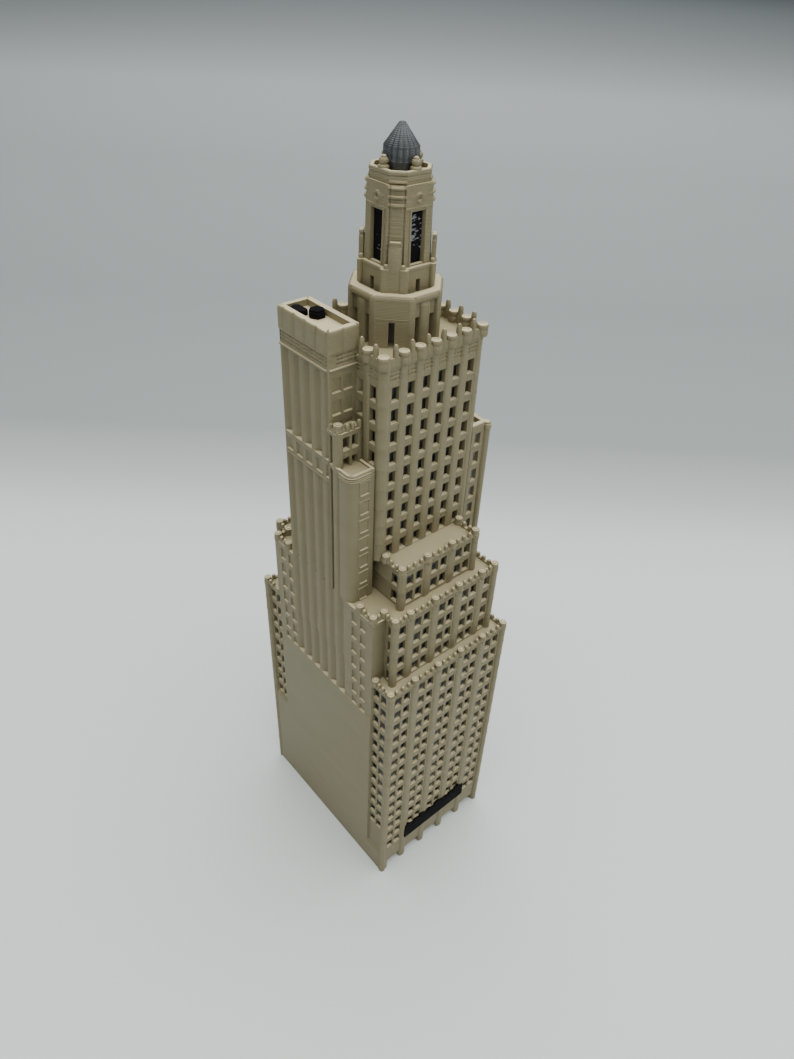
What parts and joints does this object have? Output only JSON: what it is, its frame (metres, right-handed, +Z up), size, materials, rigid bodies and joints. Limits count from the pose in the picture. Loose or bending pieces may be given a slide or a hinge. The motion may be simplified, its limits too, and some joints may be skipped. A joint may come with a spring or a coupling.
{
  "type": "miniature landmark model",
  "caption": "Stepped office tower desk souvenir in stone-coloured printed plastic, with pierced window walls over silver cores, a fluted service tower and a lantern crown with a silver cap.",
  "frame": {"origin": "centre of the flat base, on the surface the model stands on", "axes": "+Z up, -Y towards the windowed front, -X towards the wall with the tall service tower"},
  "size_m": [0.03, 0.0404, 0.1451],
  "materials": {
    "stone_plastic": "bone-coloured printed plastic with fine horizontal layer lines and a soft low sheen",
    "silver_plastic": "silver-grey silk printed plastic, layer lines catch the light",
    "black_plastic": "deep black printed plastic"
  },
  "bodies": {
    "root": {"base_core": "silver_plastic", "base_parapet": "stone_plastic", "base_plate": "stone_plastic", "base_shell": "stone_plastic", "crown_drum": "stone_plastic", "crown_drum_core": "silver_plastic", "crown_upper_core": "silver_plastic", "crown_upper_drum": "stone_plastic", "east_shoulder_core": "silver_plastic", "east_shoulder_shell": "stone_plastic", "entrance_glazing": "black_plastic", "lantern_body": "stone_plastic", "lantern_buttress_northeast": "stone_plastic", "lantern_buttress_northwest": "stone_plastic", "lantern_buttress_southeast": "stone_plastic", "lantern_buttress_southwest": "stone_plastic", "lantern_cap": "silver_plastic", "lantern_core": "silver_plastic", "lantern_urn_east": "stone_plastic", "lantern_urn_north": "stone_plastic", "lantern_urn_south": "stone_plastic", "lantern_urn_west": "stone_plastic", "lantern_window_east": "black_plastic", "lantern_window_north": "black_plastic", "lantern_window_south": "black_plastic", "lantern_window_west": "black_plastic", "marquee_band": "black_plastic", "roof_unit_low": "black_plastic", "roof_unit_tall": "black_plastic", "service_tower": "stone_plastic", "tier_three_core": "silver_plastic", "tier_three_parapet_north": "stone_plastic", "tier_three_parapet_south": "stone_plastic", "tier_three_shell": "stone_plastic", "tier_two_core": "silver_plastic", "tier_two_parapet": "stone_plastic", "tier_two_shell": "stone_plastic", "tower_core": "silver_plastic", "tower_parapet": "stone_plastic", "tower_shell": "stone_plastic", "west_wing_lower": "stone_plastic", "west_wing_upper": "stone_plastic"}
  },
  "joints": []
}
